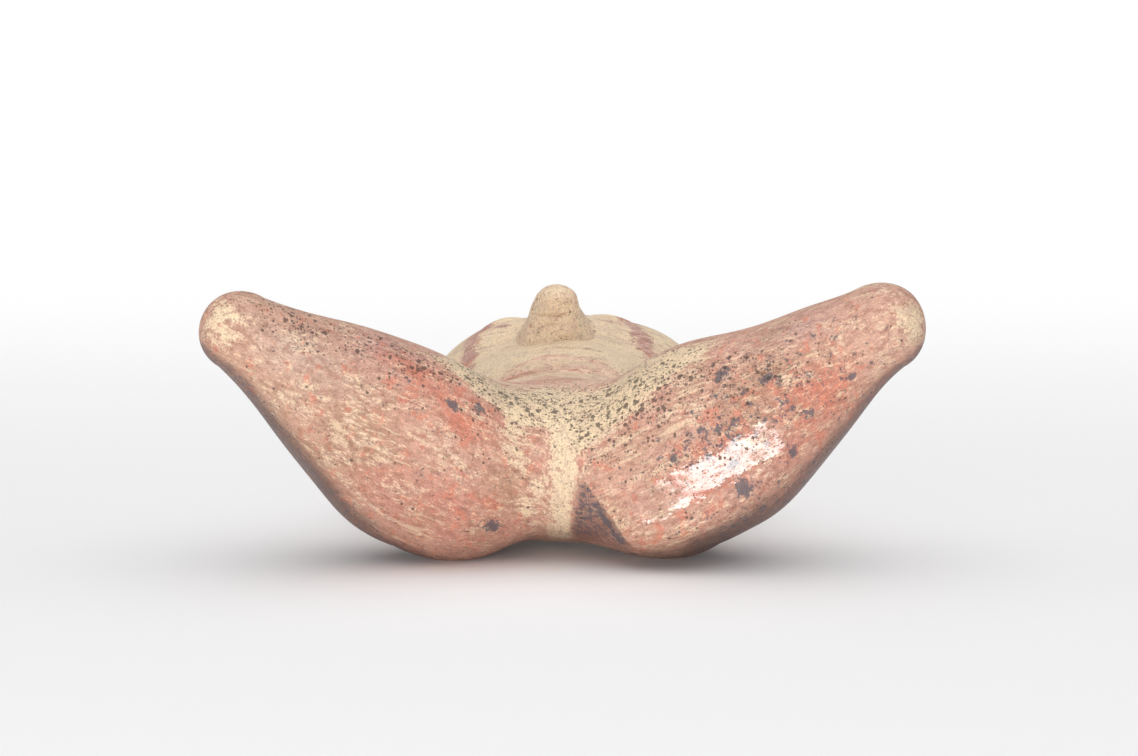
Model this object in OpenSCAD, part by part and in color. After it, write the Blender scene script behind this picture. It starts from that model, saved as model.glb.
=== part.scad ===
// Hollow clay figure, seated with its legs spread, shown lying on its back.
// It is built as the potter builds it: hollow shells luted together on flat joints,
// with rolls and pellets of clay pressed onto them.
// x runs to the figure's left, y to its head and z out of its front, in mm.

/* [Clay] */
// thickness of the fired wall
wall = 5.5; // [4.5:0.25:6.5]
// how softly limbs, trunk and head run together
blend = 4; // [3:0.25:5]

/* [Right leg] */
// hip to the right of the middle
right_hip_x = 26.7; // [25:0.1:28]
// hip above the seat plane
right_hip_y = 23.2; // [23:0.1:24.5]
// hip in front of the resting plane
right_hip_z = 20.9; // [20.3:0.1:21.3]
// toe to the right of the middle
right_toe_x = 70.8; // [67:0.1:74]
// toe above the seat plane
right_toe_y = 11.5; // [11:0.1:13]
// toe in front of the resting plane
right_toe_z = 52.6; // [49:0.1:56]
// how far the leg sags towards the back
right_sag = 0.2; // [0.1:0.1:1.5]
// radius at the hip
right_hip_r = 21.2; // [20.8:0.1:21.8]
// fullness of the thigh
right_thigh_r = 24.1; // [23:0.1:25.5]
// fullness of the shin
right_shin_r = 12.8; // [12:0.1:14]
// radius at the toe
right_toe_r = 9.3; // [8.8:0.1:10]

/* [Left leg] */
// hip to the left of the middle
left_hip_x = 24.3; // [22.5:0.1:26]
// hip above the seat plane
left_hip_y = 23.9; // [23:0.1:24.6]
// hip in front of the resting plane
left_hip_z = 21.3; // [20:0.1:21.6]
// toe to the left of the middle
left_toe_x = 70; // [67:0.1:74]
// toe above the seat plane
left_toe_y = 12.4; // [11.5:0.1:14]
// toe in front of the resting plane
left_toe_z = 53.5; // [50:0.1:57]
// how far the leg sags towards the back
left_sag = 0.8; // [0.1:0.1:1.5]
// radius at the hip
left_hip_r = 21.3; // [20.8:0.1:22]
// fullness of the thigh
left_thigh_r = 25.4; // [24:0.1:26.5]
// fullness of the shin
left_shin_r = 12.4; // [12:0.1:14]
// radius at the toe
left_toe_r = 10.2; // [9.2:0.1:10.8]
// how much fuller the left thigh is low down, towards the seat
left_full = 4.2; // [3:0.1:5]

/* [Trunk] */
// middle of the belly above the seat
belly_y = 39.2; // [38:0.1:41]
// middle of the belly in front of the resting plane
belly_z = 20.3; // [19.8:0.1:20.8]
// width of the belly
belly_w = 62; // [58:0.5:66]
// height of the belly
belly_h = 62; // [59:0.5:65]
// thickness of the belly
belly_t = 35.4; // [34:0.1:37]
// middle of the chest above the middle of the belly
chest_up = 39; // [37:0.1:41]
// middle of the chest in front of the resting plane
chest_z = 18.9; // [18:0.1:20]
// width of the chest
chest_w = 60; // [57:0.5:63]
// height of the chest
chest_h = 52; // [50:0.5:54]
// thickness of the chest
chest_t = 29.2; // [28:0.1:31]
// the point below the crotch where the two hip joints meet
crotch_y = 0.6; // [0.3:0.1:1]
// slope of the hip joints away from the middle
groin_angle = 40; // [38:0.5:42]

/* [Head] */
// joint of head and trunk above the middle of the chest
neck_up = 22.4; // [21.8:0.1:23]
// middle of the jaw above the neck joint
jaw_up = 13.9; // [13:0.1:15]
// middle of the jaw in front of the resting plane
jaw_z = 21.6; // [21:0.1:23]
// width of the jaw
jaw_w = 50; // [47:0.5:53]
// height of the jaw
jaw_h = 34.6; // [33:0.2:36]
// thickness of the jaw
jaw_t = 28.6; // [27:0.2:30]
// head to the left of the middle
head_x = 1.6; // [0.5:0.1:2]
// middle of the head above the middle of the jaw
head_up = 30.2; // [28:0.1:32]
// middle of the head in front of the resting plane
head_z = 20; // [19.6:0.1:20.3]
// width of the head
head_w = 73.8; // [71:0.2:76]
// height of the head
head_h = 53; // [51:0.2:55]
// thickness of the head
head_t = 40.8; // [40:0.1:42]
// vent left in the back of the head for firing
vent_d = 5; // [4:0.5:7]

/* [Face] */
// nose to the right of the middle
nose_x = 1.8; // [1:0.1:2.5]
// underside of the nose above the middle of the jaw
nose_up = 4.9; // [4:0.1:6]
// width of the nose at its root inside the face
nose_w = 25; // [23:0.5:27]
// width of the tip
nose_tip_w = 9.1; // [8.4:0.1:10]
// length of the ridge from underside to brow
nose_l = 27; // [24:0.5:29]
// length of the tip
nose_tip_l = 9; // [8:0.5:10]
// tip in front of the resting plane
nose_top = 50.8; // [48:0.1:53]
// distance of each eye from the nose
eye_x = 14.5; // [13.5:0.5:16]
// eyes above the middle of the head
eye_up = 2; // [0:0.1:3]
// length of an eye
eye_w = 11; // [9:0.5:12]
// height of an eye
eye_h = 5.6; // [5:0.2:6.5]
// how far an eye stands out
eye_out = 1; // [0.8:0.1:1.4]
// opening between the lids
slit_h = 1.2; // [0.8:0.1:1.6]
// middle of the mouth below the middle of the jaw
mouth_down = 2; // [1:0.1:3]
// length of the mouth
mouth_w = 12; // [10:0.5:14]
// depth the mouth is pressed into the clay
mouth_deep = 1.6; // [1:0.1:2.5]
// height of an ear
ear_h = 19; // [17:0.5:21]
// thickness of an ear
ear_t = 7; // [6:0.5:8]
// how far an ear stands out from the head
ear_out = 5.5; // [5:0.25:6.5]
// hole pressed through the ear's edge
ear_hole_d = 2; // [1.6:0.2:2.4]

/* [Arms and breasts] */
// shoulder from the middle
shoulder_x = 25; // [23.5:0.5:26.5]
// shoulder below the neck joint
shoulder_down = 10.6; // [9:0.1:12]
// elbow from the middle
elbow_x = 42; // [40:0.5:44]
// elbow below the shoulder
elbow_down = 16; // [14:0.5:18]
// hand from the middle
hand_x = 21; // [20:0.5:22.5]
// hand above the middle of the belly
hand_up = 17.8; // [16:0.1:19]
// hand in front of the resting plane
hand_z = 28; // [27:0.5:29]
// radius of the upper arm
arm_r = 6.2; // [5.6:0.1:6.8]
// radius of the hand
hand_r = 4.6; // [4.2:0.1:5]
// distance of each breast from the middle
breast_x = 17; // [16:0.5:18]
// breasts below the middle of the chest
breast_down = 10.2; // [8:0.1:12]
// width of a breast
breast_w = 13; // [12:0.5:14]
// how far a breast stands out
breast_out = 3; // [2:0.25:3.5]

/* [Hidden] */
// passes of the search for the clay's face
passes = 7;
// points around the trunk and head, and around a leg
round_n = 48;
leg_n = 40;
// cuts run past the clay by this much
overrun = 2*blend;
// heights above the seat plane
chest_y = belly_y + chest_up;
neck_y = chest_y + neck_up;
jaw_y = neck_y + jaw_up;
head_y = jaw_y + head_up;
nose_y = jaw_y + nose_up;
eye_y = head_y + eye_up;
mouth_y = jaw_y - mouth_down;
shoulder_y = neck_y - shoulder_down;
elbow_y = shoulder_y - elbow_down;
hand_y = belly_y + hand_up;
breast_y = chest_y - breast_down;
// from the seat plane to the middle of the figure's height
half_tall = (head_y + head_h/2)/2;
// larger than the whole figure
huge = 6*half_tall;
clay = [0.72, 0.47, 0.38];
slip = [0.86, 0.74, 0.6];

right_limb = [[-right_hip_x, right_hip_y, right_hip_z], [-right_toe_x, right_toe_y, right_toe_z],
  right_sag, [right_hip_r, right_thigh_r, right_shin_r, right_toe_r]];
left_limb = [[left_hip_x, left_hip_y, left_hip_z], [left_toe_x, left_toe_y, left_toe_z],
  left_sag, [left_hip_r, left_thigh_r, left_shin_r, left_toe_r]];
jaw_x = -head_x*0.6;
full_at = [left_hip_x*0.95, left_hip_y - left_thigh_r*0.926, left_hip_z - left_thigh_r*0.485];
full_size = left_thigh_r*[1.18, 0.49, 0.315];
// the swell leans two thirds as much as the thigh does
full_turn = atan2(left_toe_z - left_hip_z, left_toe_x - left_hip_x)*2/3;
balls = [
  [[0, belly_y, belly_z], [belly_w, belly_h, belly_t]/2],
  [[0, chest_y, chest_z], [chest_w, chest_h, chest_t]/2],
  [[jaw_x, jaw_y, jaw_z], [jaw_w, jaw_h, jaw_t]/2],
  [[head_x, head_y, head_z], [head_w, head_h, head_t]/2]
];

// The clay's face is where body() is zero. Each limb and ball gives its own distance, and a
// soft minimum joins them; the left thigh swells a little more along its lower side.
function bezier(h, c) = let (g = 1 - h)
  c[0]*g*g*g + 3*c[1]*g*g*h + 3*c[2]*g*h*h + c[3]*h*h*h;
function unit(v) = v/norm(v);
function limb_gap(p, limb) =
  let (
    run = limb[1] - limb[0],
    h = min(1, max(0, (p - limb[0])*run/(run*run))),
    sag = [0, 0, 4*limb[2]*h*(1 - h)]
  )
  norm(p - limb[0] - h*run + sag) - bezier(h, limb[3]);
function ball_gap(p, ball) =
  let (
    d = p - ball[0],
    r = ball[1],
    q = [d.x/r.x, d.y/r.y, d.z/r.z],
    k = norm(q)
  )
  k*(k - 1)/norm([q.x/r.x, q.y/r.y, q.z/r.z]);
function full(p) =
  let (
    d = p - full_at,
    along = d.x*cos(full_turn) + d.z*sin(full_turn),
    up = d.z*cos(full_turn) - d.x*sin(full_turn),
    q = [along/full_size.x, d.y/full_size.y, up/full_size.z]
  )
  left_full*exp(-q*q);
function sum(v) = v*[for (i = v) 1];
function body(p) =
  let (
    gaps = [limb_gap(p, right_limb), limb_gap(p, left_limb), for (b = balls) ball_gap(p, b)],
    least = min(gaps)
  )
  least - blend*ln(sum([for (g = gaps) exp((least - g)/blend)])) - full(p);

// Walks from a point o along d to the face, or to the level below it, and no further than far.
// Each pass steps by the gap over the slope that the last two passes saw.
function reach(o, d, t, level, far, n = passes, t0 = undef, f0 = undef) =
  let (
    f = body(o + t*d) - level,
    slope = t0 == undef || t == t0 ? 1 : min(1.5, max(0.25, (f - f0)/(t - t0))),
    next = max(0, min(far, t - f/slope))
  )
  n == 1 ? next : reach(o, d, next, level, far, n - 1, t, f);

// A row is [middle, end direction, side, front, tilt, stretch]; its points are rays that fan
// out from the middle.
function ray(row, a) =
  let (flat = cos(a)*row[5]*row[2] + sin(a)*row[3])
  cos(row[4])*unit(flat) + sin(row[4])*row[1];
function ring(row, n, level, start, far = huge, planes = []) =
  [for (j = [0:n - 1])
    let (
      d = ray(row, 360*j/n),
      stop = min([far, for (p = planes) plane_far(row[0], d, p)])
    )
    row[0] + d*reach(row[0], d, start, level, stop)];
// distance along d to where it is just beyond a plane given as [point, normal]
function plane_far(o, d, plane) =
  let (q = plane[1]*d)
  q < 0.02 ? huge : (max(0, plane[1]*(plane[0] - o)) + overrun)/q;

// closed surface over equal rings; an end is drawn out to a point, or is flat without one
module skin(rings, first = undef, last = undef) {
  n = len(rings[0]);
  m = len(rings);
  top = m*n - n;
  a_point = first != undef;
  b_point = last != undef;
  polyhedron(
    [for (r = rings) each r, if (a_point) first, if (b_point) last],
    [
      for (i = [0:m - 2], j = [0:n - 1]) let (k = (j + 1)%n)
        each [[i*n + j, i*n + k, i*n + n + j], [i*n + k, i*n + n + k, i*n + n + j]],
      if (a_point) for (j = [0:n - 1]) [m*n, (j + 1)%n, j],
      if (!a_point) [for (j = [0:n - 1]) n - 1 - j],
      if (b_point) for (j = [0:n - 1]) [m*n + (a_point ? 1 : 0), top + j, top + (j + 1)%n],
      if (!b_point) [for (j = [0:n - 1]) top + j]
    ],
    convexity = 8
  );
}
function all_but_last(v) = [for (i = [0:len(v) - 2]) v[i]];
function all_but_first(v) = [for (i = [1:len(v) - 1]) v[i]];

// TRUNK
// The trunk and the head share the ring at the neck, so their joint faces are one outline.
left_groin = [[0, crotch_y, 0], [cos(groin_angle), -sin(groin_angle), 0]];
right_groin = [[0, crotch_y, 0], [-cos(groin_angle), -sin(groin_angle), 0]];
spine_z = chest_z;
low = [0, belly_y/2.3, spine_z];
// rays up the trunk and head crowd towards the sides by this ratio, where it is narrow
side_ratio = 1.5;
function up_row(o, tilt) = [o, [0, 1, 0], [1, 0, 0], [0, 0, 1], tilt, side_ratio];
// rays fan up from one low point as far as this angle, then straighten on the way to the neck
fan_angle = 52;
function trunk_rows(fans, barrels) = [
  for (i = [1:fans - 1]) up_row(low, -90 + (90 + fan_angle)*i/fans),
  for (i = [0:barrels])
    up_row(low + i/barrels*[0, neck_y - low.y, 0], fan_angle*pow(1 - i/barrels, 1.6))
];
module trunk_outer() {
  rings = [for (r = trunk_rows(14, 17))
    ring(r, round_n, 0, chest_t/2, huge, [left_groin, right_groin])];
  start = low - [0, reach(low, [0, -1, 0], belly_y/3, 0, huge), 0];
  skin(rings, start);
}
module trunk_inner() {
  rings = [for (r = trunk_rows(8, 9))
    ring(r, round_n/2, -wall, chest_t/3, huge, [left_groin, right_groin])];
  start = low - [0, reach(low, [0, -1, 0], belly_y/4, -wall, huge), 0];
  past = [for (p = rings[len(rings) - 1]) p + [0, overrun, 0]];
  skin([each all_but_last(rings), past], start);
}
// everything beyond a hip joint, on the side given as 1 for left and -1 for right
module beyond(side) {
  translate([0, crotch_y, -huge/2])
    mirror([side < 0 ? 1 : 0, 0, 0])
      rotate(-90 - groin_angle)
        translate([-huge, 0, 0])
          cube([2*huge, huge, huge]);
}
// the seat plane and the plane the back lies on, where the clay is worn flat
module worn_flats() {
  translate([-huge, -huge, -huge]) cube([2*huge, huge, 2*huge]);
  translate([-huge, -huge, -huge]) cube([2*huge, 2*huge, huge]);
}
module placed() {
  translate([0, -half_tall, 0]) children();
}

// LEGS
// The rings turn from the hip joint's plane to square across the leg, within this share of it.
turn_share = 0.6;
// share of the leg that is hollow
hollow_share = 0.84;
function leg_row(limb, groin, s) =
  let (
    along = unit(limb[1] - limb[0]),
    root = limb[0] - along*(groin[1]*(limb[0] - groin[0]))/(groin[1]*along),
    turn = min(1, s/turn_share),
    w = turn*turn*(3 - 2*turn),
    out = unit(groin[1]*(1 - w) + along*w),
    front = unit([0, 0, 1] - out.z*out)
  )
  [root + s*(limb[1] - root), out, cross(out, front), front, 0, 1];
function tilted(row, tilt) = [for (i = [0:5]) i == 4 ? tilt : row[i]];
module leg_outer(limb, groin) {
  barrels = 17;
  caps = 7;
  rows = [for (i = [0:barrels]) leg_row(limb, groin, i/barrels),
    for (i = [1:caps - 1]) tilted(leg_row(limb, groin, 1), 90*i/caps)];
  rings = [for (r = rows) ring(r, leg_n, 0, limb[3][0])];
  tip = rows[len(rows) - 1];
  skin(rings, last = tip[0] + tip[1]*reach(tip[0], tip[1], limb[3][3], 0, huge));
}
module leg_inner(limb, groin) {
  barrels = 9;
  caps = 4;
  rows = [for (i = [0:barrels]) leg_row(limb, groin, hollow_share*i/barrels),
    for (i = [1:caps - 1]) tilted(leg_row(limb, groin, hollow_share), 90*i/caps)];
  rings = [for (r = rows) ring(r, leg_n/2, -wall, limb[3][0]/2, limb[3][0]*1.2)];
  past = [for (p = rings[0]) p - groin[1]*overrun];
  tip = rows[len(rows) - 1];
  skin([past, each all_but_first(rings)], last = tip[0] + tip[1]*(limb[3][3] - wall/2));
}
module leg(limb, groin) {
  placed()
    difference() {
      leg_outer(limb, groin);
      leg_inner(limb, groin);
      worn_flats();
    }
}

// HEAD
neck = [0, neck_y, spine_z];
crown = [head_x, head_y, head_z];
module head_outer() {
  barrels = 12;
  caps = 10;
  rows = [for (i = [0:barrels]) up_row(neck + i/barrels*(crown - neck), 0),
    for (i = [1:caps - 1]) up_row(crown, 90*i/caps)];
  rings = [for (r = rows) ring(r, round_n, 0, chest_t/2)];
  skin(rings, last = crown + [0, reach(crown, [0, 1, 0], head_h/2, 0, huge), 0]);
}
module head_inner() {
  barrels = 7;
  caps = 5;
  rows = [for (i = [0:barrels]) up_row(neck + i/barrels*(crown - neck), 0),
    for (i = [1:caps - 1]) up_row(crown, 90*i/caps)];
  rings = [for (r = rows) ring(r, round_n/2, -wall, chest_t/3)];
  past = [for (p = rings[0]) p - [0, overrun, 0]];
  skin([past, each all_but_first(rings)],
    last = crown + [0, reach(crown, [0, 1, 0], head_h/3, -wall, huge), 0]);
}
// the clay's front at x and y
function front_at(x, y) = [x, y, spine_z + reach([x, y, spine_z], [0, 0, 1], chest_t/2, 0, huge)];

// NOSE
// A tapering fin of clay: stacked ovals from inside the face to a rounded tip.
module nose_fin() {
  root = front_at(-nose_x, nose_y + nose_l/2);
  base_z = root.z - wall*1.3;
  rise = nose_top - base_z;
  n = 28;
  levels = 10;
  // the tip is rounded from this share of the height on
  round_share = 0.82;
  // the ridge leans towards the brow by these shares of its length, from root to tip
  lift_shares = [0, 0.05, 0.02, 0];
  rings = [for (i = [0:levels])
    let (
      h = i/levels*0.985,
      w = bezier(h, [nose_w, nose_w*0.76, nose_tip_w*1.2, nose_tip_w])/2,
      l = bezier(h, [nose_l, nose_l, nose_tip_l*1.4, nose_tip_l])/2,
      cap = h < round_share ? 1 : sqrt(1 - pow((h - round_share)/(1 - round_share), 2)),
      lift = bezier(h, lift_shares)*nose_l
    )
    [for (j = [0:n - 1]) [
      -nose_x - w*cap*cos(360*j/n),
      nose_y + lift + l + l*cap*sin(360*j/n),
      base_z + h*rise
    ]]];
  skin(rings, [-nose_x, nose_y + nose_l/2, base_z],
    [-nose_x, nose_y + nose_tip_l/2, nose_top]);
}

// PELLETS
// A flattened ball of clay with its middle at a point.
module pellet(at, size) {
  bands = 8;
  n = 24;
  rings = [for (i = [1:bands - 1])
    let (up = -cos(180*i/bands)/2, out = sin(180*i/bands)/2)
    [for (j = [0:n - 1])
      at + [-size.x*out*cos(360*j/n), size.y*out*sin(360*j/n), size.z*up]]];
  skin(rings, at - [0, 0, size.z/2], at + [0, 0, size.z/2]);
}
// an eye lies along the slope of the face, with a shallow slit between its lids
module eye(side) {
  x = side*eye_x - nose_x;
  across = front_at(x + eye_w/2, eye_y) - front_at(x - eye_w/2, eye_y);
  placed()
    difference() {
      translate(front_at(x, eye_y))
        rotate([0, -atan2(across.z, across.x), 0])
          difference() {
            pellet([0, 0, 0], [eye_w, eye_h, 2*eye_out]);
            translate([0, 0, eye_out])
              cube([eye_w*0.6, slit_h, eye_out*0.8], center = true);
          }
      head_outer();
    }
}
module ear(side) {
  start = [head_x, head_y - head_h/6, head_z];
  d = [side, 0, 0];
  at = start + d*reach(start, d, head_w/2, 0, huge);
  placed()
    difference() {
      pellet(at, [2*ear_out, ear_h, ear_t]);
      translate(at + [side*ear_out/2, 0, -ear_t/2 - overrun/2])
        cylinder(h = ear_t + overrun, d = ear_hole_d, $fn = 24);
      head_outer();
    }
}
module breast(side) {
  placed()
    difference() {
      pellet(front_at(side*breast_x, breast_y), [breast_w, breast_w, 2*breast_out]);
      trunk_outer();
    }
}

// ARMS
// A roll along a curve from shoulder by elbow to hand, rounded at both ends.
module arm_roll(side) {
  a = [side*shoulder_x, shoulder_y, spine_z];
  b = [side*elbow_x, elbow_y, spine_z];
  c = [side*hand_x, hand_y, hand_z];
  bend = 12;
  caps = 4;
  rows = [
    for (i = [-caps:bend + caps])
      let (
        t = min(1, max(0, i/bend)),
        turn = i < 0 ? 90*i/caps : i > bend ? 90*(i - bend)/caps : 0
      )
      [t, turn]
  ];
  rings = [for (r = rows)
    let (
      t = r[0],
      g = 1 - t,
      p = a*g*g + 2*b*g*t + c*t*t,
      out = unit((b - a)*g + (c - b)*t),
      front = unit([0, 0, 1] - out.z*out),
      across = cross(out, front),
      thick = arm_r*g + hand_r*t
    )
    [for (j = [0:19])
      p + out*thick*sin(r[1])*0.98
        + thick*max(cos(r[1]), 0.05)*(cos(18*j)*across + sin(18*j)*front)]];
  skin(rings, a - unit(b - a)*arm_r, c + unit(c - b)*hand_r);
}
module arm(side) {
  placed()
    difference() {
      arm_roll(side);
      trunk_outer();
      head_outer();
    }
}

module torso_shell() {
  color(clay)
    placed()
      difference() {
        trunk_outer();
        trunk_inner();
        beyond(1);
        beyond(-1);
        worn_flats();
      }
}
module right_leg() {
  color(clay) leg(right_limb, right_groin);
}
module left_leg() {
  color(clay) leg(left_limb, left_groin);
}
module head_shell() {
  mouth = front_at(jaw_x, mouth_y);
  color(slip)
    placed()
      difference() {
        head_outer();
        head_inner();
        worn_flats();
        translate([head_x, head_y + head_h/4, -overrun])
          cylinder(h = overrun + head_z, d = vent_d, $fn = 32);
        pellet(mouth, [mouth_w, slit_h*1.5, 2*mouth_deep]);
      }
}
module nose() {
  color(slip)
    placed()
      difference() {
        nose_fin();
        head_outer();
      }
}
module right_eye() {
  color(slip) eye(-1);
}
module left_eye() {
  color(slip) eye(1);
}
module right_ear() {
  color(slip) ear(-1);
}
module left_ear() {
  color(slip) ear(1);
}
module right_arm() {
  color(clay) arm(-1);
}
module left_arm() {
  color(clay) arm(1);
}
module right_breast() {
  color(clay) breast(-1);
}
module left_breast() {
  color(clay) breast(1);
}

torso_shell();
right_leg();
left_leg();
head_shell();
nose();
right_eye();
left_eye();
right_ear();
left_ear();
right_arm();
left_arm();
right_breast();
left_breast();
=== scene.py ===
# Hollow clay figure lying on its back on a white sheet, seen from its seat.
# The shapes come from one smooth body, worked out in millimetres with the seat at y = 0,
# and are moved into the frame in metres at the end.
import math
from functools import partial

import bmesh
import bpy
import numpy as np
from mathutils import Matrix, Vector


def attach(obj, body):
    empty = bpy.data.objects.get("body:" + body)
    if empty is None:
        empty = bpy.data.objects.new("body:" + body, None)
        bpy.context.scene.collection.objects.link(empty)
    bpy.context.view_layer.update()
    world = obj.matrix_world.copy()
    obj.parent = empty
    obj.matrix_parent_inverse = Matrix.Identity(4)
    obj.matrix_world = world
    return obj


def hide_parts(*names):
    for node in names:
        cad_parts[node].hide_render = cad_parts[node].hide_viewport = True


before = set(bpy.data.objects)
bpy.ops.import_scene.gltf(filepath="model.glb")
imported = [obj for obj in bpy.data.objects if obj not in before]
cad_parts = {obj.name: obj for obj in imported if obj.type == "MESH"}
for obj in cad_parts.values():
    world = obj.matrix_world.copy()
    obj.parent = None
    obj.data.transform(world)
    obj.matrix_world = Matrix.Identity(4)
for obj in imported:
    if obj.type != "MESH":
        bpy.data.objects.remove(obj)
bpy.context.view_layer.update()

print("frame loaded")

# THE BODY
halfTall = 85.6
wall = 5.5
blend = 4.0
rightLimb = dict(hip=(-26.7, 23.2, 20.9), toe=(-70.8, 11.5, 52.6), sag=0.2,
                 radii=(21.2, 24.1, 12.8, 9.3))
leftLimb = dict(hip=(24.3, 23.9, 21.3), toe=(70.0, 12.4, 53.5), sag=0.8,
                radii=(21.3, 25.4, 12.4, 10.2))
balls = [
    dict(at=(0, 39.2, 20.3), size=(62, 62, 35.4)),
    dict(at=(0, 78.2, 18.9), size=(60, 52, 29.2)),
    dict(at=(-0.96, 114.5, 21.6), size=(50, 34.6, 28.6)),
    dict(at=(1.6, 144.7, 20.0), size=(73.8, 53, 40.8)),
]
crotchY = 0.6
groinAngle = math.radians(40)
neckY = 100.6
spineZ = 18.9


def bezier(h, c):
    # a smooth run from c[0] to c[3] as h goes from 0 to 1, drawn towards the two between
    g = 1 - h
    return c[0] * g**3 + 3 * c[1] * g * g * h + 3 * c[2] * g * h * h + c[3] * h**3


def limbGap(p, limb):
    # distance from a line that sags as a parabola, less the limb's radius at the nearest point
    hip = np.array(limb["hip"], float)
    run = np.array(limb["toe"], float) - hip
    h = np.clip((p - hip) @ run / (run @ run), 0, 1)
    middle = hip + h[..., None] * run
    middle[..., 2] -= 4 * limb["sag"] * h * (1 - h)
    return np.linalg.norm(p - middle, axis=-1) - bezier(h, limb["radii"])


def ballGap(p, ball):
    # about the distance from an ellipsoid: k is 1 on its face and is divided by its own slope
    r = np.array(ball["size"], float) / 2
    q = (p - np.array(ball["at"], float)) / r
    k = np.linalg.norm(q, axis=-1)
    return k * (k - 1) / np.maximum(np.linalg.norm(q / r, axis=-1), 1e-9)


# the uneven hand-smoothed face: slow swells a few tenths of a millimetre high
swells = dict(seed=2337, count=22, height=0.085, shortest=11.0, longest=34.0)
swellRng = np.random.default_rng(swells["seed"])
swellAxes = swellRng.normal(size=(swells["count"], 3))
swellAxes /= np.linalg.norm(swellAxes, axis=1)[:, None]
swellAxes *= 2 * math.pi / swellRng.uniform(swells["shortest"], swells["longest"],
                                            swells["count"])[:, None]
swellPhases = swellRng.uniform(0, 2 * math.pi, swells["count"])


def unevenness(p):
    # the swells' height at a point: a sum of sine waves in random directions
    return swells["height"] * np.sin(p @ swellAxes.T + swellPhases).sum(axis=-1)


# the left thigh is a little fuller low down, the mouth is a pressed line, and the seat is worn to
# a soft-edged flat
fuller = dict(at=(23.09, 0.38, 8.98), size=(29.97, 12.45, 8.0), out=4.2,
              turn=math.atan2(32.2, 45.7) * 2 / 3)
mouth = dict(x=-0.96, y=112.8, half=8.5, tall=0.8, deep=1.3, front=8)
wornSoft = 0.45


def body(p):
    # distance from the figure's face, less than 0 inside: a soft minimum of the limbs' and balls'
    # own distances, then a soft maximum with the seat plane
    gaps = np.stack([limbGap(p, rightLimb), limbGap(p, leftLimb)] + [ballGap(p, b) for b in balls])
    least = gaps.min(axis=0)
    total = np.exp((least - gaps) / blend).sum(axis=0)
    d, c, s = p - fuller["at"], math.cos(fuller["turn"]), math.sin(fuller["turn"])
    d = np.stack([d[..., 0] * c + d[..., 2] * s, d[..., 1], d[..., 2] * c - d[..., 0] * s], axis=-1)
    bulge = np.exp(-((d / fuller["size"]) ** 2).sum(axis=-1))
    gap = least - blend * np.log(total) + unevenness(p) - fuller["out"] * bulge
    pressed = np.exp(-(((p[..., 0] - mouth["x"]) / mouth["half"]) ** 4)
                     - ((p[..., 1] - mouth["y"]) / mouth["tall"]) ** 2)
    gap = gap + mouth["deep"] * pressed * (p[..., 2] > spineZ + mouth["front"])
    return wornSoft * np.logaddexp(gap / wornSoft, -p[..., 1] / wornSoft)


def reach(o, d, start, level=0.0, far=400.0, passes=9):
    # walks from o along d to the face, or to the level under it; a secant search
    shape = np.broadcast_shapes(o.shape, d.shape)[:-1]
    t = np.broadcast_to(np.asarray(start, float), shape).copy()
    far = np.broadcast_to(np.asarray(far, float), shape)
    before, gapBefore = None, None
    for i in range(passes):
        gap = body(o + t[..., None] * d) - level
        slope = np.ones(shape)
        if before is not None:
            moved = t - before
            live = np.abs(moved) > 1e-9
            slope[live] = np.clip((gap - gapBefore)[live] / moved[live], 0.25, 1.5)
        before, gapBefore = t, gap
        t = np.clip(t - gap / slope, 0, far)
    return t


def faceNormal(p, step=0.05):
    # the way in which the distance grows fastest, from differences along x, y and z
    n = np.stack([body(p + e) - body(p - e) for e in np.eye(3) * step], axis=-1)
    return n / np.linalg.norm(n, axis=-1)[..., None]


print("body ready")

# MESHES
def toFrame(p):
    # millimetres from the seat to metres in the frame
    return (np.asarray(p, float) - (0, halfTall, 0)) * 0.001


def gridFaces(rows, columns, base=0, flip=False):
    # quads between neighbouring closed rings
    i, j = np.meshgrid(np.arange(rows - 1), np.arange(columns), indexing="ij")
    k = (j + 1) % columns
    quads = np.stack([i * columns + j, (i + 1) * columns + j, (i + 1) * columns + k,
                      i * columns + k], axis=-1).reshape(-1, 4) + base
    return quads[:, ::-1] if flip else quads


def fanFaces(pole, ring, flip=False):
    # triangles from a pole to a ring
    nextOne = np.roll(ring, -1)
    fan = np.stack([np.full(len(ring), pole), ring, nextOne], axis=-1)
    return fan[:, ::-1] if flip else fan


def bandFaces(a, b, flip=False):
    # quads between two rings
    band = np.stack([a, b, np.roll(b, -1), np.roll(a, -1)], axis=-1)
    return band[:, ::-1] if flip else band


def makeMesh(name, points, faceLists):
    # a smooth-shaded object at the origin from points in millimetres and lists of faces
    mesh = bpy.data.meshes.new(name)
    faces = [face for block in faceLists for face in block.tolist()]
    mesh.from_pydata(toFrame(points).tolist(), [], faces)
    mesh.polygons.foreach_set("use_smooth", np.ones(len(faces), bool))
    mesh.update()
    obj = bpy.data.objects.new(name, mesh)
    bpy.context.scene.collection.objects.link(obj)
    return obj


def tidyMesh(obj, sharp=math.radians(42)):
    # faces point outwards, and edges at a joint or a cut stay crisp
    bm = bmesh.new()
    bm.from_mesh(obj.data)
    bmesh.ops.recalc_face_normals(bm, faces=bm.faces)
    if bm.calc_volume(signed=True) < 0:
        bmesh.ops.reverse_faces(bm, faces=bm.faces)
    for edge in bm.edges:
        edge.smooth = edge.calc_face_angle(math.pi) < sharp
    bm.to_mesh(obj.data)
    bm.free()


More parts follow.
